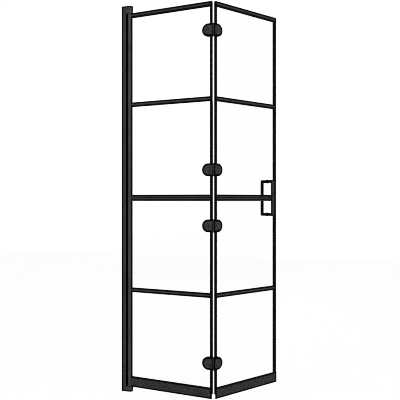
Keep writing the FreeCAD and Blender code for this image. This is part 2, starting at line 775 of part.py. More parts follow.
def make_fold_seal():
    """A clear web from one fold stile to the other, bowed away from the knuckles."""
    body = document.addObject("Part::Feature", "fold_seal")
    body.Label = "fold_seal"
    inner = FreeCAD.Placement(FreeCAD.Vector(number("pivot_x"), 0, 0),
                              FreeCAD.Rotation(FreeCAD.Vector(0, 0, 1), number("inner_angle")))
    outer = FreeCAD.Placement(FreeCAD.Vector(number("outer_x"), number("outer_y"), 0),
                              FreeCAD.Rotation(FreeCAD.Vector(0, 0, 1), number("outer_angle")))
    play = number("glass_play")
    thickness = number("fold_seal_thickness")
    axis = FreeCAD.Vector(number("fold_x"), number("fold_y"), 0)

    def web(shift):
        """One face of the web: an arc from stile to stile, shifted through its thickness."""
        first = inner.multVec(FreeCAD.Vector(number("inner_trim_edge") + play, shift, 0))
        last = outer.multVec(FreeCAD.Vector(number("fold_gap") - play, shift, 0))
        middle = (first + last) * 0.5
        away = (middle - axis).normalize()
        return first, middle + away * number("fold_seal_bulge"), last

    a0, a1, a2 = web(-thickness / 2)
    b0, b1, b2 = web(thickness / 2)
    outline = Part.Wire([Part.Arc(a0, a1, a2).toShape(), Part.LineSegment(a2, b2).toShape(),
                         Part.Arc(b2, b1, b0).toShape(), Part.LineSegment(b0, a0).toShape()])
    bottom = number("glass_bottom")
    solid = Part.Face(outline).extrude(FreeCAD.Vector(0, 0, number("glass_top") - bottom))
    body.Shape = solid
    body.Placement = FreeCAD.Placement(FreeCAD.Vector(0, 0, bottom), FreeCAD.Rotation())
    pieces.append(body)


def make_inner_leaf():
    make_pivot_stile()
    boss_x = "inner_reach - boss_from_fold"
    make_glass("inner_glass", INNER_LEAF, "stile_slot_start + slot_play",
               "inner_trim_edge - trim_web - glass_play", boss_x, [])
    make_fold_stile("inner_fold_stile", INNER_LEAF, "inner_trim_edge", "-")
    trim = ("inner_trim_edge - trim_width - trim_play", "inner_trim_edge + " + OVERLAP)
    make_leaf_bars("inner", INNER_LEAF, "stile_radius + bar_stile_play", ("inner_trim_edge",) * 3, trim)
    make_drip_seal("inner_drip_seal", INNER_LEAF, "stile_radius + drip_end_gap",
                   "inner_trim_edge - drip_end_gap")


def make_outer_leaf():
    handle_holes = [("handle_x", "handle_low"), ("handle_x", "handle_high")]
    make_glass("outer_glass", OUTER_LEAF, "fold_gap + trim_web + glass_play", "closing_bed - glass_play",
               "boss_from_fold", handle_holes)
    make_fold_stile("outer_fold_stile", OUTER_LEAF, "fold_gap", "+")
    make_closing_stile()
    make_magnetic_strip()
    ends = ("outer_reach - cap_end_gap", "closing_start - bar_stile_play", "outer_reach")
    trim = ("fold_gap - " + OVERLAP, "fold_gap + trim_width + trim_play")
    make_leaf_bars("outer", OUTER_LEAF, "fold_gap", ends, trim)
    make_drip_seal("outer_drip_seal", OUTER_LEAF, "fold_gap + drip_end_gap", "outer_reach - drip_end_gap")


def check_pieces():
    """Stop if anything in the document failed or a piece isn't a sound solid."""
    for thing in document.Objects:
        if "Invalid" in thing.State or "Error" in thing.State:
            raise RuntimeError("%s (%s) failed: %s" % (thing.Name, thing.Label, thing.State))
    for piece in pieces:
        if piece.Shape.isNull() or not piece.Shape.isValid() or not piece.Shape.Solids:
            raise RuntimeError("%s isn't a sound solid" % piece.Label)


write_sizes()
make_jamb()
make_inner_leaf()
make_outer_leaf()
for index, level in enumerate(hinge_levels(), start=1):
    make_hinge(index, level)
make_handle("outside_handle", "-")
make_handle("inside_handle", "+")
make_handle_fixings()
make_fold_seal()
document.recompute()
check_pieces()

os.makedirs("parts", exist_ok=True)
for piece in pieces:
    piece.Shape.exportStep(os.path.join("parts", piece.Label + ".step"))
print("wrote %d pieces" % len(pieces))
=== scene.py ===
# %% [markdown]
# # A folding shower door
#
# The object is a two-leaf glass door on a wall jamb, half folded: black aluminium profiles, clamp
# hinges at the fold and a pair of handles, back to back. Its pieces come ready at their real size from
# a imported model. This lesson gives each piece its finish, adds the small parts that the model leaves
# out, and sets up the floor, the light and the camera. Lengths are in metres.

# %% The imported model
import math
import bmesh
import bpy
import numpy as np
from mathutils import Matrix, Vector


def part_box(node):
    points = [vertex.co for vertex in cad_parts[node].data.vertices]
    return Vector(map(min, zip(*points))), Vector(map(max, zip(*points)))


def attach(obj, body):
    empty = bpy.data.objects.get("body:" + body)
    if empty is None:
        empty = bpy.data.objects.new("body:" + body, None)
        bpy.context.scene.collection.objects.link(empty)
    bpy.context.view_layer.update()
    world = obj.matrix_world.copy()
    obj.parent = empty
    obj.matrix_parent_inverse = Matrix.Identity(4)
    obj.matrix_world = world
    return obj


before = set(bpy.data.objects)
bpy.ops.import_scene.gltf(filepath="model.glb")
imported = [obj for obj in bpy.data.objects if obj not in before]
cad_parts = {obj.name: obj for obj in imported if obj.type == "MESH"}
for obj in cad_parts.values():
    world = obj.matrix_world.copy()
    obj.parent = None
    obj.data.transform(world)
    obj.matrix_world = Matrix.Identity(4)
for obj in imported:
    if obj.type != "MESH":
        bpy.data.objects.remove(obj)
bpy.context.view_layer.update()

MM = 0.001
print("pieces in the packed model:", len(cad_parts))

# %% [markdown]
# ## The two leaves' own frames
#
# A detail on a leaf is easiest to place by its distance along the glass, its distance out of the glass
# and its height. Both leaves stand at an angle, so their directions are read off the glass panes: the
# plan of a pane is a long thin rectangle, and the longest direction of its points is the glass line.

# %% A leaf's frame read off its glass
UP = np.array([0.0, 0.0, 1.0])


def middle(node):
    """The centre of a piece's box."""
    low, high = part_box(node)
    return (np.array(low) + np.array(high)) / 2


def corners(node):
    """All vertices of a piece as an array."""
    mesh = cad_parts[node].data
    flat = np.zeros(len(mesh.vertices) * 3, np.float32)
    mesh.vertices.foreach_get("co", flat)
    return flat.reshape(-1, 3).astype(float)


class Leaf:
    """A leaf's frame: along the glass from its axis, out of its outside face, and up.

    The glass line is the first principal direction of the pane's points in plan, and out is that
    direction turned by a right angle. The origin is the axis, moved out to the middle of the pane.
    """

    def __init__(self, glass, axis):
        plan = corners(glass)[:, :2]
        centre = (plan.min(0) + plan.max(0)) / 2
        _, _, directions = np.linalg.svd(plan - plan.mean(0), full_matrices=False)
        along = directions[0]
        if along @ (centre - axis) < 0:
            along = -along
        self.along = np.array([along[0], along[1], 0.0])
        self.out = np.array([along[1], -along[0], 0.0])
        foot = np.array([axis[0], axis[1], 0.0])
        to_plane = (np.array([centre[0], centre[1], 0.0]) - foot) @ self.out
        self.origin = foot + to_plane * self.out

    def place(self, points):
        """Points given as (along, out, up), moved into the model's frame."""
        points = np.asarray(points, float)
        return (self.origin + points[..., 0:1] * self.along + points[..., 1:2] * self.out
                + points[..., 2:3] * UP)


print("leaf frames can be read")

# %% The inner and the outer leaf
wall_pivot = middle("lower_pivot_pin")[:2]
fold_axis = middle("hinge_1_pin")[:2]
inner = Leaf("inner_glass", wall_pivot)
outer = Leaf("outer_glass", fold_axis)
INNER_REACH = float((np.append(fold_axis, 0.0) - inner.origin) @ inner.along)
HINGE_LEVELS = [float(middle("hinge_%d_pin" % i)[2]) for i in (1, 2, 3, 4)]
print("inner leaf turned by %.1f degrees" % math.degrees(math.atan2(inner.along[1], inner.along[0])))
print("outer leaf turned by %.1f degrees" % math.degrees(math.atan2(outer.along[1], outer.along[0])))

# %% [markdown]
# ## Sums on shader sockets
#
# A pattern on a surface is a sum worked out at each point. Written as a chain of Math nodes it is hard
# to read, so the small class `Value` wraps a socket and turns plain expressions into those nodes. A
# `Tree` holds the nodes. Its method `node` adds any other node: its settings first, then the values or
# links of its sockets. A `Finish` is the tree of one material.

# %% Sockets that can be added and multiplied


class Value:
    """A node's output. Sums and products with it add Math nodes to its tree."""

    def __init__(self, tree, socket):
        self.tree = tree
        self.socket = socket

    def __add__(self, other):
        return self.tree.math("ADD", self, other)

    def __sub__(self, other):
        return self.tree.math("SUBTRACT", self, other)

    def __rsub__(self, other):
        return self.tree.math("SUBTRACT", other, self)

    def __mul__(self, other):
        return self.tree.math("MULTIPLY", self, other)

    __radd__ = __add__
    __rmul__ = __mul__

    def size(self):
        """The value without its sign."""
        return self.tree.math("ABSOLUTE", self)

    def power(self, exponent):
        """The value raised to a power."""
        return self.tree.math("POWER", self, exponent)


print("sums on sockets are ready")

# %% The nodes and links of a tree


class Tree:
    """The nodes and links of a material or of the sky."""

    def __init__(self, owner):
        owner.use_nodes = True
        self.nodes = owner.node_tree.nodes
        self.links = owner.node_tree.links

    def find(self, kind):
        """The node of a kind that Blender put there itself."""
        return next(n for n in self.nodes if n.type == kind)

    def feed(self, socket, value):
        """Set a socket to a number or colour, or link a wrapped output to it."""
        if isinstance(value, Value):
            self.links.new(value.socket, socket)
        else:
            socket.default_value = value

    def node(self, kind, settings, inputs, output=0):
        """Any node: settings are its properties, inputs are values or links by socket name."""
        made = self.nodes.new(kind)
        for name, setting in settings.items():
            setattr(made, name, setting)
        for name, value in inputs.items():
            self.feed(made.inputs[name], value)
        return Value(self, made.outputs[output])

    def math(self, operation, *values):
        """A Math node's result for one or two values."""
        settings = {"operation": operation}
        return self.node("ShaderNodeMath", settings, dict(enumerate(values)))

    def to_camera(self):
        """1 for camera, glossy and transmission rays, 0 for all others."""
        rays = [self.node("ShaderNodeLightPath", {}, {}, "Is %s Ray" % kind)
                for kind in ("Camera", "Glossy", "Transmission")]
        return self.math("MAXIMUM", rays[0], self.math("MAXIMUM", rays[1], rays[2]))


print("trees are ready")

# %% A finish and the nodes that vary it


def rgba(colour):
    """A colour with its alpha, from a grey, three numbers or a link."""
    if isinstance(colour, Value):
        return colour
    if isinstance(colour, (int, float)):
        colour = (colour,) * 3
    return (*colour, 1.0)


class Finish(Tree):
    """A material with one Principled shader and the nodes that vary it."""

    def __init__(self, name):
        self.material = bpy.data.materials.new(name)
        super().__init__(self.material)
        self.shader = self.find("BSDF_PRINCIPLED")
        self.places = self.node("ShaderNodeTexCoord", {}, {}, "Object")

    def dot(self, direction, start):
        """How far each point lies from a start along a direction."""
        moved = self.node("ShaderNodeVectorMath", {"operation": "SUBTRACT"},
                          {0: self.places, 1: tuple(float(v) for v in start)})
        return self.node("ShaderNodeVectorMath", {"operation": "DOT_PRODUCT"},
                         {0: moved, 1: tuple(float(v) for v in direction)}, "Value")

    def step(self, value, low, high):
        """0 below low, 1 above high and a smooth rise between them."""
        return self.node("ShaderNodeMapRange", {"interpolation_type": "SMOOTHSTEP"},
                         {"Value": value, "From Min": low, "From Max": high})

    def noise(self, scale, detail=3.0):
        """Noise between 0 and 1. scale is about the number of its grains in a metre."""
        return self.node("ShaderNodeTexNoise", {},
                         {"Vector": self.places, "Scale": scale, "Detail": detail})

    def blend(self, factor, first, second):
        """A colour between two, by a factor from 0 to 1."""
        return self.node("ShaderNodeMix", {"data_type": "RGBA"},
                         {0: factor, 6: rgba(first), 7: rgba(second)}, 2)

    def bump(self, height, strength, distance):
        """A normal tilted by a height pattern."""
        return self.node("ShaderNodeBump", {},
                         {"Height": height, "Strength": strength, "Distance": distance})

    def set(self, **sockets):
        """Sockets of the shader by their names, with _ for a space."""
        for name, value in sockets.items():
            self.feed(self.shader.inputs[name.replace("_", " ")], value)


print("finishes are ready")

# %% [markdown]
# ## Black powder coat
#
# The profiles, hinges and handles wear a matte black coat: fine grains that scatter the light, faint
# clouds in the grey, and a painted shade along every edge: a black rim that stands in for the shade
# there and gives each thin bar its crisp outline. It could be painted on a texture, but a sum is sharper
# and needs no unwrapping: each piece says how deep a point lies inside its grey face, and where that
# depth falls below zero the painted shade begins. A bar measures it by height, a hinge plate by its
# round nose.

# %% The coat, grey inside the face and painted shade, black, in the rim
SHADE_AND_GRIP_BLACK = 0.0008
RIM_SOFT = 1.2 * MM
GRAINS = 1100.0
GRAIN_DETAIL = 2.0
GRAIN_BUMP = 0.12
GRAIN_HEIGHT = 0.1 * MM
GRAIN_ROUGHNESS = 0.1
CLOUDS = 14.0
CLOUD_DETAIL = 4.0
CLOUD_DEPTH = 0.15
CLOUD_RANGE = (0.3, 0.7)
COAT_GLOSS = 0.02
COAT_ROUGHNESS = 0.46


def coated(name, grey, inside=None, roughness=COAT_ROUGHNESS, clouds=CLOUDS, depth=CLOUD_DEPTH):
    """A coat finish, whose clouds make the grey lighter and darker by a share, its depth.

    inside is a function of the finish that gives how deep a point lies in the grey face. Where the
    depth is negative the coat is painted black as edge shade. Without it the whole piece has the one grey.
    """
    finish = Finish(name)
    grains = finish.noise(GRAINS, GRAIN_DETAIL)
    cloud = finish.step(finish.noise(clouds, CLOUD_DETAIL), *CLOUD_RANGE)
    colour = finish.blend(cloud, grey * (1 - depth), grey * (1 + depth))
    if inside is not None:
        # Outside the grey face the coat is painted black, a shade along the edges.
        face = finish.step(inside(finish), -RIM_SOFT / 2, RIM_SOFT / 2)
        colour = finish.blend(face, SHADE_AND_GRIP_BLACK, colour)
    finish.set(Base_Color=colour,
               Roughness=roughness - GRAIN_ROUGHNESS / 2 + GRAIN_ROUGHNESS * grains,
               Normal=finish.bump(grains, GRAIN_BUMP, GRAIN_HEIGHT),
               Specular_IOR_Level=COAT_GLOSS)
    return finish.material


def dress(names, material):
    """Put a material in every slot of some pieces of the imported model."""
    for name in names:
        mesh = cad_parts[name].data
        if not mesh.materials:
            mesh.materials.append(material)
        for i in range(len(mesh.materials)):
            mesh.materials[i] = material


print("coat ready, rims %.1f mm soft" % (RIM_SOFT / MM))

# %% [markdown]
# ## How deep a point lies in a face
#
# A grey face is cut out of its piece by strips. The depth inside a strip is half its width less the
# distance from its middle line, so it is positive inside, zero on both edges and negative outside. The
# smaller of two depths keeps what both faces share, and the larger one joins them.

# %% Depth in a strip, and in two faces together
FAR = 9.0  # past every end of the door, for a strip with one open side


def strip(direction, low, high, start=(0.0, 0.0, 0.0)):
    """Depth inside the strip from low to high along a direction, measured from a start."""
    def inside(finish):
        return (high - low) / 2 - (finish.dot(direction, start) - (low + high) / 2).size()
    return inside


def both(first, second):
    """Depth inside the part that two faces share: the smaller of the two."""
    def inside(finish):
        return finish.math("MINIMUM", first(finish), second(finish))
    return inside


def either(first, second):
    """Depth inside two faces side by side: the larger of the two."""
    def inside(finish):
        return finish.math("MAXIMUM", first(finish), second(finish))
    return inside


print("strips ready")

# %% [markdown]
# ## The bars and rails
#
# Each leaf carries five horizontal bars on its outside. Their rims of painted shade run along the foot
# and the head, so mostly the height is all that the finish needs. Every bar is painted black as shade
# where it covers the fold trim, and the two that run on over the closing profile have a painted shade
# rim at that end too. The rail, the broadest face, is as clouded as the cast parts. The middle bar has
# three grey bands, its foot, its flat face and a lip, with the groove and a shadow line between them
# painted as shade.

# %% Bars and rails: grey, with a painted shade rim at the foot and at the head
BARS = {"top_bar": (0.034, 9.0 * MM, 8.0 * MM), "upper_bar": (0.040, 8.4 * MM, 7.4 * MM),
        "middle_bar": (0.036, 0.0, 0.0), "lower_bar": (0.040, 8.2 * MM, 7.6 * MM),
        "bottom_rail": (0.032, 7.5 * MM, 8.2 * MM)}
MIDDLE_BANDS = {"foot": (-4.6 * MM, 4.6 * MM), "face": (8.8 * MM, 14.6 * MM),
                "lip": (17.8 * MM, 22.6 * MM)}
# The end rim and the fold rim are painted shade, black.
END_RIM = 9.0 * MM
FOLD_RIM = {"inner": 7.0 * MM, "outer": 5.5 * MM}
CAST = {"clouds": 150.0, "depth": 0.6}  # a cast part's clouds are finer and deeper


def bar_face(bar, low, high):
    """Depth inside a bar's grey face, by its height alone."""
    if bar == "middle_bar":
        # The groove and the shadow line between the middle bar's bands are painted shade.
        foot, face, lip = [strip(UP, low + start, low + end) for start, end in MIDDLE_BANDS.values()]
        return either(foot, either(face, lip))
    _, foot_rim, head_rim = BARS[bar]
    return strip(UP, low + foot_rim, high - head_rim)


for leaf_name, leaf in (("inner", inner), ("outer", outer)):
    for bar in BARS:
        node = "%s_%s" % (leaf_name, bar)
        low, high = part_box(node)
        reach = (corners(node) - leaf.origin) @ leaf.along
        start, end = float(reach.min()), float(reach.max())
        if leaf is inner:
            start, end = -FAR, end - FOLD_RIM["inner"]
        else:
            start = start + FOLD_RIM["outer"]
            end = end - END_RIM if bar in ("top_bar", "bottom_rail") else FAR
        face = both(bar_face(bar, low.z, high.z), strip(leaf.along, start, end, leaf.origin))
        clouding = CAST if bar == "bottom_rail" else {}
        dress([node], coated(node + "_coat", BARS[bar][0], face, **clouding))
print("bars coated:", 2 * len(BARS))

# %% [markdown]
# ## The jamb and the uprights
#
# The wall channel shows a grey front inside dark edges of painted shade, the widest one at the wall.
# The pivot blocks are lighter, up to a thin edge of painted shade. The slim fold trims and the closing
# profile are so narrow that the painted shade of the rim covers them, so they are plain black. The
# turning stile is round and the lightest, its grey partly a painted highlight, with a black mouth of
# painted shade where it takes the glass.

# %% Jamb and uprights
# The channel's and the blocks' rims are painted shade.
WALL_RIM = 7.4 * MM
FRONT_RIM = 1.3 * MM
HEAD_RIM = 6.6 * MM
BLOCK_RIM = 1.0 * MM
STILE_LIT = 8.0 * MM
CHANNEL_GREY = 0.036
BLOCK_GREY = 0.048
# The trims are painted shade all over, a black copy of the coat.
TRIM_SHADE_BLACK = 0.0012
# The stile's lighter grey is partly a painted highlight on its round face.
STILE_HIGHLIGHT_GREY = 0.054
STILE_ROUGHNESS = 0.5
FROM_WALL = np.array([1.0, 0.0, 0.0])
low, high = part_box("wall_channel")
channel_height = strip(UP, low.z + HEAD_RIM, high.z - HEAD_RIM)
channel_face = both(strip(FROM_WALL, WALL_RIM, high.x - FRONT_RIM), channel_height)
dress(["wall_channel"], coated("channel_coat", CHANNEL_GREY, channel_face))
block_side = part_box("upper_pivot_block")[1].x
block_face = both(strip(FROM_WALL, -FAR, block_side - BLOCK_RIM), channel_height)
dress(["lower_pivot_block", "upper_pivot_block"], coated("block_coat", BLOCK_GREY, block_face))
dress(["jamb_profile", "inner_fold_stile", "outer_fold_stile", "closing_stile"],
      coated("trim_coat", TRIM_SHADE_BLACK))
# Past the lit side the stile is painted black, a shade at its mouth.
stile_face = strip(inner.along, -FAR, STILE_LIT, inner.origin)
dress(["pivot_stile"], coated("stile_coat", STILE_HIGHLIGHT_GREY, stile_face, STILE_ROUGHNESS))
print("jamb and uprights coated, channel %.0f mm deep" % (high.x / MM))

# %% [markdown]
# ## The hinges
#
# A hinge plate is a D: straight towards the fold and round away from it. The depth inside it is the
# plate's half height, less the rim, less the distance from the D's own spine, where only the part beyond
# the round nose's centre counts along the glass. A shadow line runs down each side of the barrel, which
# is lit between them. The cast face is more clouded than the profiles.

# %% Hinge plates
PLATE_HALF = 29 * MM
PLATE_REACH = {"inner": 56 * MM, "outer": 50 * MM}
# The plate's rim and the shadow lines beside the barrel are painted shade, black.
PLATE_RIM = 9.2 * MM
BARREL_SHADE = {"inner": 5.2 * MM, "outer": 4.5 * MM}
BARREL_LIT = (-2.2 * MM, 2.0 * MM)
BARREL_RIM = 4.0 * MM
HINGE_GREY = 0.034
HINGE_ROUGHNESS = 0.4
HINGE_SIDES = {"inner": (inner, INNER_REACH, -1.0), "outer": (outer, 0.0, 1.0)}


def plate_face(side, level):
    """Depth inside a hinge half: the D plate up to its shadow line, and the lit side of the barrel."""
    leaf, fold_end, towards = HINGE_SIDES[side]
    away = towards * leaf.along
    nose = leaf.place([fold_end + towards * (PLATE_REACH[side] - PLATE_HALF), 0.0, level])

    def round_face(finish):
        beyond = finish.math("MAXIMUM", finish.dot(away, nose), 0.0)
        rise = finish.dot(UP, nose)
        return PLATE_HALF - PLATE_RIM - (beyond * beyond + rise * rise).power(0.5)
    plate = strip(away, BARREL_SHADE[side], FAR, leaf.place([fold_end, 0.0, 0.0]))
    barrel = both(strip(inner.along, *BARREL_LIT, inner.place([INNER_REACH, 0.0, 0.0])),
                  strip(UP, level - PLATE_HALF + BARREL_RIM, level + PLATE_HALF - BARREL_RIM))
    return either(both(round_face, plate), barrel)


for index, level in enumerate(HINGE_LEVELS, start=1):
    for side in HINGE_SIDES:
        node = "hinge_%d_%s_leaf" % (index, side)
        face = plate_face(side, level)
        dress([node], coated(node + "_coat", HINGE_GREY, face, HINGE_ROUGHNESS, **CAST))
print("hinge halves coated:", len(HINGE_SIDES) * len(HINGE_LEVELS))

# %% [markdown]
# ## The handles
#
# Two D handles of flat bar are bolted back to back through the glass. Of the outside one only the
# outer half of the grip catches the light, and the inside one is in shade, so it stays black.

# %% Handles
GRIP_LIT = 7.6 * MM
GRIP_RIM = 6.0 * MM
GRIP_GREY = 0.034
GRIP_SHADE = 0.0015
GRIP_ROUGHNESS = 0.36
low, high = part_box("outside_handle")
grip_out = float(((corners("outside_handle") - outer.origin) @ outer.out).max())
grip_face = both(strip(outer.out, grip_out - GRIP_LIT, FAR, outer.origin),
                 strip(UP, low.z + GRIP_RIM, high.z - GRIP_RIM))
dress(["outside_handle"], coated("outside_handle_coat", GRIP_GREY, grip_face, GRIP_ROUGHNESS))
dress(["inside_handle"], coated("inside_handle_coat", GRIP_SHADE, None, GRIP_ROUGHNESS))
print("handles coated, grips %.0f mm high" % ((high.z - low.z) / MM))

# %% [markdown]
# ## Glass, seals and steel
#
# Clear toughened glass shows only in its reflections and a faint green, so it is one transmitting
# shader. The dark seals are soft and matt, the clear ones smooth vinyl, and the pins are turned steel
# with fine rings. The fold seal is one strip of vinyl with a clear web between two black grips.

# %% Clear glass
GLASS_TINT = (0.985, 0.995, 0.99)
CLEAR_IOR = 1.45


def clear_glass():
    """Clear toughened glass."""
    finish = Finish("clear_glass")
    finish.set(Base_Color=rgba(GLASS_TINT), Roughness=0.0, IOR=CLEAR_IOR, Transmission_Weight=1.0)
    return finish.material


dress(["inner_glass", "outer_glass"], clear_glass())
print("panes in glass: 2")

# %% Dark rubber
RUBBER_GREYS = (0.0008, 0.0024)
RUBBER_GRAINS = 700.0
RUBBER_ROUGHNESS = (0.7, 0.2)
RUBBER_BUMP = 0.2
RUBBER_HEIGHT = 0.1 * MM
RUBBER_GLOSS = 0.02


def dark_rubber():
    """A soft black rubber, whose grains vary its grey, its roughness and its surface."""
    finish = Finish("dark_rubber")
    grains = finish.noise(RUBBER_GRAINS)
    smoothest, spread = RUBBER_ROUGHNESS
    finish.set(Base_Color=finish.blend(grains, *RUBBER_GREYS), Roughness=smoothest + spread * grains,
               Normal=finish.bump(grains, RUBBER_BUMP, RUBBER_HEIGHT), Specular_IOR_Level=RUBBER_GLOSS)
    return finish.material


RUBBER = dark_rubber()
dark_seals = ["jamb_seal", "magnetic_strip", "handle_washers"]
dress(dark_seals, RUBBER)
print("dark seals:", len(dark_seals))

# %% Clear vinyl
WEB_ENDS = {"inner": 6.0 * MM, "outer": 6.8 * MM}
WEB_SOFT = 0.2 * MM
VINYL_TINTS = ((0.93, 0.95, 0.95), (0.98, 0.99, 0.99))
VINYL_CLOUDS = 60.0
VINYL_ROUGHNESS = (0.03, 0.05)
VINYL_GLOSS = 0.25


def clear_vinyl(name, inside=None):
    """Clear vinyl. inside gives the depth inside its clear web, and the grips outside it are black."""
    finish = Finish(name)
    clouds = finish.noise(VINYL_CLOUDS)
    colour = finish.blend(clouds, *VINYL_TINTS)
    if inside is not None:
        colour = finish.blend(finish.step(inside(finish), 0.0, WEB_SOFT), SHADE_AND_GRIP_BLACK, colour)
    smoothest, spread = VINYL_ROUGHNESS
    finish.set(Base_Color=colour, Roughness=smoothest + spread * clouds, IOR=CLEAR_IOR,
               Transmission_Weight=1.0, Specular_IOR_Level=VINYL_GLOSS)
    return finish.material


clear_seals = ["inner_drip_seal", "outer_drip_seal", "handle_sleeves"]
dress(clear_seals, clear_vinyl("clear_vinyl"))
web = both(strip(-inner.along, -FAR, WEB_ENDS["inner"], inner.place([INNER_REACH, 0.0, 0.0])),
           strip(outer.along, -FAR, WEB_ENDS["outer"], outer.origin))
dress(["fold_seal"], clear_vinyl("fold_vinyl", web))
print("clear seals:", len(clear_seals) + 1)

# %% Turned steel
STEEL_GREYS = (0.42, 0.56)
STEEL_RINGS = 900.0
RING_WANDER = 0.4
STEEL_ROUGHNESS = (0.25, 0.15)
RING_BUMP = 0.15
RING_DEPTH = 0.05 * MM


def turned_steel():
    """Steel with the fine rings of a lathe, as bands across the height."""
    finish = Finish("turned_steel")
    rings = finish.node("ShaderNodeTexWave", {"bands_direction": "Z"},
                        {"Vector": finish.places, "Scale": STEEL_RINGS, "Distortion": RING_WANDER})
    smoothest, spread = STEEL_ROUGHNESS
    finish.set(Base_Color=finish.blend(rings, *STEEL_GREYS), Metallic=1.0,
               Roughness=smoothest + spread * rings, Normal=finish.bump(rings, RING_BUMP, RING_DEPTH))
    return finish.material


pins = ["lower_pivot_pin", "upper_pivot_pin"] + ["hinge_%d_pin" % i for i in (1, 2, 3, 4)]
dress(pins, turned_steel())
print("steel pins:", len(pins))

# %% [markdown]
# ## Surfaces from arrays
#
# The small parts that follow are surfaces of two parameters: a grid of points whose rows and columns
# close into a solid. One function turns any number of such grids into one mesh. Points that fall
# together, as at the tip of a dome, are merged afterwards, and the faces are turned outwards. Two more
# functions make the grids: a profile turned once round, and a section carried straight up.

# %% Grids of points into a mesh
MERGE = 1e-6


def grid_mesh(name, grids, material):
    """One piece from copies of a grid, an array (copies, rows, columns, 3).

    Each point is joined to the next column and the next row, and the last column to the first.
    """
    grids = np.asarray(grids, float)
    copies, rows, columns, _ = grids.shape
    ids = np.arange(copies * rows * columns).reshape(copies, rows, columns)
    after = np.roll(ids, -1, axis=2)
    quads = np.stack([ids[:, :-1], after[:, :-1], after[:, 1:], ids[:, 1:]], axis=-1).reshape(-1, 4)
    mesh = bpy.data.meshes.new(name)
    mesh.from_pydata(grids.reshape(-1, 3).tolist(), [], quads.tolist())
    shape = bmesh.new()
    shape.from_mesh(mesh)
    bmesh.ops.remove_doubles(shape, verts=shape.verts, dist=MERGE)
    bmesh.ops.dissolve_degenerate(shape, edges=shape.edges, dist=MERGE)
    bmesh.ops.recalc_face_normals(shape, faces=shape.faces)
    shape.to_mesh(mesh)
    shape.free()
    mesh.materials.append(material)
    piece = bpy.data.objects.new(name, mesh)
    bpy.context.scene.collection.objects.link(piece)
    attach(piece, "root")
    print("%s: %d faces" % (name, len(mesh.polygons)))


print("points nearer than %.3f mm are merged" % (MERGE / MM))

# %% A profile turned once round, and a section carried straight up


def turned(profile, segments, hexagon=None):
    """A profile of (radius, height) carried once round the axis; hexagon marks rows with six flats.

    Returns (rows, segments, 3) with the radius in the first two coordinates and the height in the third.
    A flat row's radius is its flat-to-centre distance over the cosine of the angle from the flat's middle.
    """
    profile = np.asarray(profile, float)
    angle = np.linspace(0.0, 2 * math.pi, segments, endpoint=False)
    sixth = math.pi / 3
    from_flat = (angle + sixth / 2) % sixth - sixth / 2
    flats = np.zeros(len(profile)) if hexagon is None else np.asarray(hexagon, float)
    stretch = 1 + flats[:, None] * (1 / np.cos(from_flat)[None, :] - 1)
    radius = profile[:, 0:1] * stretch
    return np.stack([radius * np.cos(angle), radius * np.sin(angle),
                     np.repeat(profile[:, 1:2], segments, axis=1)], axis=-1)


def upright(section, low, high):
    """A closed section of (along, out) points carried straight up from low to high.

    The first and the last row are the section's mean point, so that both ends are closed.
    """
    section = np.asarray(section, float)
    centre = np.repeat(section.mean(0)[None], len(section), axis=0)
    rows = [(centre, low), (section, low), (section, high), (centre, high)]
    return np.array([np.column_stack([points, np.full(len(points), level)]) for points, level in rows])


print("surfaces ready: turned and upright")

# %% [markdown]
# ## Hinge fixings
#
# The two plates of a hinge clamp the glass with button head screws, driven from the inside with a hex
# key. Each head is a low dome with a six-sided socket: a profile turned once round, where the socket's
# rows are hexagons. The knuckles are closed at both ends by a shallow cap. Profiles are lists of radius
# and height in millimetres.

# %% Screws on the inside plates
BOSS_FROM_FOLD = 32 * MM
BOSS_RISE = 13 * MM
PLATE_FACE = 8.1 * MM
HEAD_SOCKET = [(0.0, 0.7), (1.5, 0.7), (1.5, 2.1)]
HEAD_DOME = [(1.75, 2.3), (3.0, 2.0), (4.0, 1.3), (4.5, 0.4), (4.5, 0.0), (0.0, 0.0)]
SMALL_SEGMENTS = 24
SCREW_GREY = 0.022
SCREW_ROUGHNESS = 0.3

BLACK_SCREW = coated("screw_coat", SCREW_GREY, None, SCREW_ROUGHNESS)
head_profile = np.array(HEAD_SOCKET + HEAD_DOME) * MM
head = turned(head_profile, SMALL_SEGMENTS, [1] * len(HEAD_SOCKET) + [0] * len(HEAD_DOME))
screws = []
for leaf, fold_end, towards in HINGE_SIDES.values():
    along = fold_end + towards * BOSS_FROM_FOLD + head[..., 0]
    for level in HINGE_LEVELS:
        for rise in (-BOSS_RISE, BOSS_RISE):
            screw = np.stack([along, -PLATE_FACE - head[..., 2], level + rise + head[..., 1]], -1)
            screws.append(leaf.place(screw))
grid_mesh("hinge_screws", screws, BLACK_SCREW)

# %% Caps on the knuckles
KNUCKLE_CAP = [(0.0, 1.0), (1.4, 0.93), (2.7, 0.68), (3.7, 0.3), (4.1, 0.0), (0.0, 0.0)]
cap = turned(np.array(KNUCKLE_CAP) * MM, SMALL_SEGMENTS)
caps = []
for level in HINGE_LEVELS:
    for side in (-1.0, 1.0):
        end = np.array([fold_axis[0], fold_axis[1], level + side * PLATE_HALF])
        caps.append(end + cap * np.array([1.0, 1.0, side]))
grid_mesh("knuckle_caps", caps, BLACK_SCREW)

# %% [markdown]
# ## Glazing beads
#
# Where a metal leg meets the glass, a thin soft bead fills the corner. Its section is a small wedge,
# carried straight up the glass between the things that interrupt it: the bars outside, the legs of the
# top bar and the rail inside, and the hinge plates.

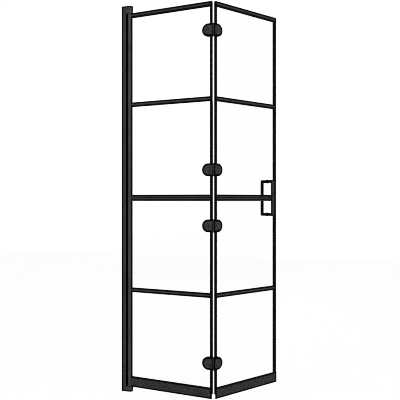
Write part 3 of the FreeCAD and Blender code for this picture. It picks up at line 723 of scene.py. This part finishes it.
# %% Beads along the uprights
STILE_TIP = 10.0 * MM
FOLD_TIP = 17.4 * MM
CLOSING_TIP = float(((corners("closing_stile") - outer.origin) @ outer.along).min())
BEADS = {"stile": (inner, STILE_TIP, 1.0, 3.6 * MM),
         "inner fold": (inner, INNER_REACH - FOLD_TIP, -1.0, 0.8 * MM),
         "outer fold": (outer, FOLD_TIP, 1.0, 2.2 * MM),
         "closing": (outer, CLOSING_TIP, -1.0, 5.0 * MM)}
BEAD_RISE = 0.9 * MM
BEAD_FOOT = 0.02 * MM
BEAD_SHOULDER = (0.6, 0.5)
BEAD_GAP = 0.4 * MM
GLASS_FACE = 3.0 * MM
CAP_LEG = 13 * MM


def free_spans(low, high, blocked):
    """The stretches of a line from low to high that no blocked (start, end) covers."""
    spans = []
    for start, end in sorted(blocked):
        if start > low:
            spans.append((low, start))
        low = max(low, end)
    if high > low:
        spans.append((low, high))
    return spans


def bead(leaf, tip, towards, width, face, span):
    """A wedge up the glass over a span: width along the glass from a tip, and its rise out of a face.

    Its shoulder is a share of the width and of the rise. face is 1 outside and -1 inside.
    """
    shoulder, share = BEAD_SHOULDER
    section = np.array([(0.0, BEAD_FOOT), (width, BEAD_FOOT), (shoulder * width, share * BEAD_RISE),
                        (0.0, BEAD_RISE)])
    placed = np.column_stack([tip + towards * section[:, 0], face * (GLASS_FACE + section[:, 1])])
    return leaf.place(upright(placed, *span))


glass_low, glass_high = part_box("inner_glass")
bar_boxes = [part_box("inner_" + bar) for bar in BARS]
bar_spans = [(low.z - BEAD_GAP, high.z + BEAD_GAP) for low, high in bar_boxes]
plate_spans = [(level - PLATE_HALF - BEAD_GAP, level + PLATE_HALF + BEAD_GAP) for level in HINGE_LEVELS]
leg_spans = [(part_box("inner_top_bar")[1].z - CAP_LEG, glass_high.z), (glass_low.z, glass_low.z + CAP_LEG)]
beads = []
for edge, (leaf, tip, towards, width) in BEADS.items():
    for face, crossing in ((1.0, bar_spans), (-1.0, leg_spans)):
        blocked = crossing + (plate_spans if edge.endswith("fold") else [])
        for span in free_spans(glass_low.z, glass_high.z, blocked):
            beads.append(bead(leaf, tip, towards, width, face, span))
grid_mesh("glazing_beads", beads, RUBBER)

# %% [markdown]
# ## The nose of the closing strip
#
# The magnetic strip meets the other jamb with a soft nose, fuller on the outside. Its section is set
# against the strip's flat end and carried straight up it: the reach falls off towards both sides as a
# low power of a cosine, and a slant moves the most of it outwards.

# %% The nose
NOSE_REACH = 2.4 * MM
NOSE_HALF = 4.4 * MM
NOSE_SLANT = 0.4
NOSE_POWER = 0.4
NOSE_GAP = 0.02 * MM
NOSE_POINTS = 13
turn = np.linspace(-math.pi / 2, math.pi / 2, NOSE_POINTS)
slant = 1 - NOSE_SLANT + NOSE_SLANT * np.sin(turn)
reach = NOSE_REACH * np.maximum(np.cos(turn), 0.0) ** NOSE_POWER * slant
strip_points = (corners("magnetic_strip") - outer.origin) @ np.array([outer.along, outer.out, UP]).T
_, _, strip_low = strip_points.min(0)
strip_end, _, strip_high = strip_points.max(0)
nose = np.stack([strip_end + NOSE_GAP + reach, NOSE_HALF * np.sin(turn)], -1)
nose_grid = outer.place(upright(nose, strip_low, strip_high))
grid_mesh("strip_nose", [nose_grid], RUBBER)

# %% [markdown]
# ## Cover caps on the channel
#
# Three screws lock the adjusting profile in the wall channel from inside the shower, each under a
# round push-on cap: a low dome turned once round, near the foot, at mid height and near the head.

# %% Caps on the inside of the channel
COVER = [(0.0, 2.0), (2.4, 1.9), (4.2, 1.5), (5.1, 0.8), (5.3, 0.0), (0.0, 0.0)]
COVER_SEGMENTS = 32
COVER_LEVELS = (0.16, 0.5, 0.84)
low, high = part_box("wall_channel")
cover = turned(np.array(COVER) * MM, COVER_SEGMENTS)
covers = [np.stack([high.x / 2 + cover[..., 0], high.y + cover[..., 2], height + cover[..., 1]], -1)
          for height in low.z + (high.z - low.z) * np.array(COVER_LEVELS)]
grid_mesh("channel_caps", covers, BLACK_SCREW)

# %% [markdown]
# ## Floor and sky
#
# The object stands before plain white, as in a catalogue. The floor and the sky are white to the camera
# and in reflections. The floor mixes a glow of its own with a white that the lamps light, and only a
# small share comes from the lamps, so a faint shadow stays. The light that the sky gives to the door is
# weaker than the white that the camera sees.

# %% Floor
FLOOR_SIZE = 14.0
FLOOR_LEVEL = -0.5 * MM
SHADOW_SHARE = 0.05
half = FLOOR_SIZE / 2
mesh = bpy.data.meshes.new("floor")
mesh.from_pydata([(-half, -half, FLOOR_LEVEL), (half, -half, FLOOR_LEVEL), (half, half, FLOOR_LEVEL),
                  (-half, half, FLOOR_LEVEL)], [], [(0, 1, 2, 3)])
floor = bpy.data.objects.new("floor", mesh)
bpy.context.scene.collection.objects.link(floor)

white = Finish("floor_white")
white.set(Base_Color=rgba(1.0), Roughness=1.0, Specular_IOR_Level=0.0)
lit = Value(white, white.shader.outputs[0])
glow = white.node("ShaderNodeEmission", {}, {})
seen = white.to_camera() * (1 - SHADOW_SHARE)
surface = white.node("ShaderNodeMixShader", {}, {0: seen, 1: lit, 2: glow})
white.feed(white.find("OUTPUT_MATERIAL").inputs["Surface"], surface)
mesh.materials.append(white.material)
print("floor %.0f m wide" % FLOOR_SIZE)

# %% Sky
SKY_LIGHT = 0.55
world = bpy.data.worlds.new("studio")
bpy.context.scene.world = world
sky = Tree(world)
background = sky.find("BACKGROUND")
sky.feed(background.inputs["Color"], rgba(1.0))
sky.feed(background.inputs["Strength"], SKY_LIGHT + sky.to_camera() * (1 - SKY_LIGHT))
print("sky white to the camera, and %.2f as light" % SKY_LIGHT)

# %% [markdown]
# ## Lamps
#
# Three large square lamps give a soft studio light: the key from the front right, a weak fill from the
# front left, and one behind the door that lights its inside. The camera doesn't see them, because on
# white they would eat into the thin black edges.

# %% Lamps: place, size and power
TARGET = (0.35, 0.0, 0.95)
LAMPS = {"key": ((3.2, -2.6, 3.0), 2.2, 90), "fill": ((-2.6, -2.6, 1.8), 2.6, 28),
         "back": ((-0.6, 3.2, 2.8), 2.4, 40)}


def lamp(name, place, size, energy):
    """A soft square lamp at a place, turned to the door, and out of the camera's sight."""
    data = bpy.data.lights.new(name, "AREA")
    data.size = size
    data.energy = energy
    made = bpy.data.objects.new(name, data)
    made.location = place
    made.rotation_euler = (Vector(TARGET) - Vector(place)).to_track_quat("-Z", "Y").to_euler()
    made.visible_camera = False
    made.visible_transmission = False
    bpy.context.scene.collection.objects.link(made)


for name, facts in LAMPS.items():
    lamp(name, *facts)
print("lamps:", len(LAMPS))

# %% [markdown]
# ## Camera
#
# The door's uprights stay parallel in the view, so the camera is level, and a small shift puts the
# horizon at its row in a picture of 400 rows. The lens follows from the view's angle. The pixel filter
# is narrower than Blender's own, so that the thin rims stay crisp.

# %% Camera
CAMERA_PLACE = (1.3272, -2.7894, 0.9210)
CAMERA_TILT = 90.0
CAMERA_TURN = 18.53
VIEW_ANGLE = 35.0
SENSOR_WIDTH = 36.0
PICTURE = 400.0
HORIZON = 199.607
PIXEL_FILTER = 0.9
camera_data = bpy.data.cameras.new("camera")
camera_data.sensor_width = SENSOR_WIDTH
camera_data.lens = SENSOR_WIDTH / 2 / math.tan(math.radians(VIEW_ANGLE) / 2)
camera_data.shift_y = (HORIZON - PICTURE / 2) / PICTURE
camera = bpy.data.objects.new("camera", camera_data)
camera.location = CAMERA_PLACE
camera.rotation_euler = (math.radians(CAMERA_TILT), 0.0, math.radians(CAMERA_TURN))
bpy.context.scene.collection.objects.link(camera)
bpy.context.scene.camera = camera
bpy.context.scene.view_settings.view_transform = "Standard"
bpy.context.scene.cycles.filter_width = PIXEL_FILTER
print("camera lens %.2f mm" % camera_data.lens)
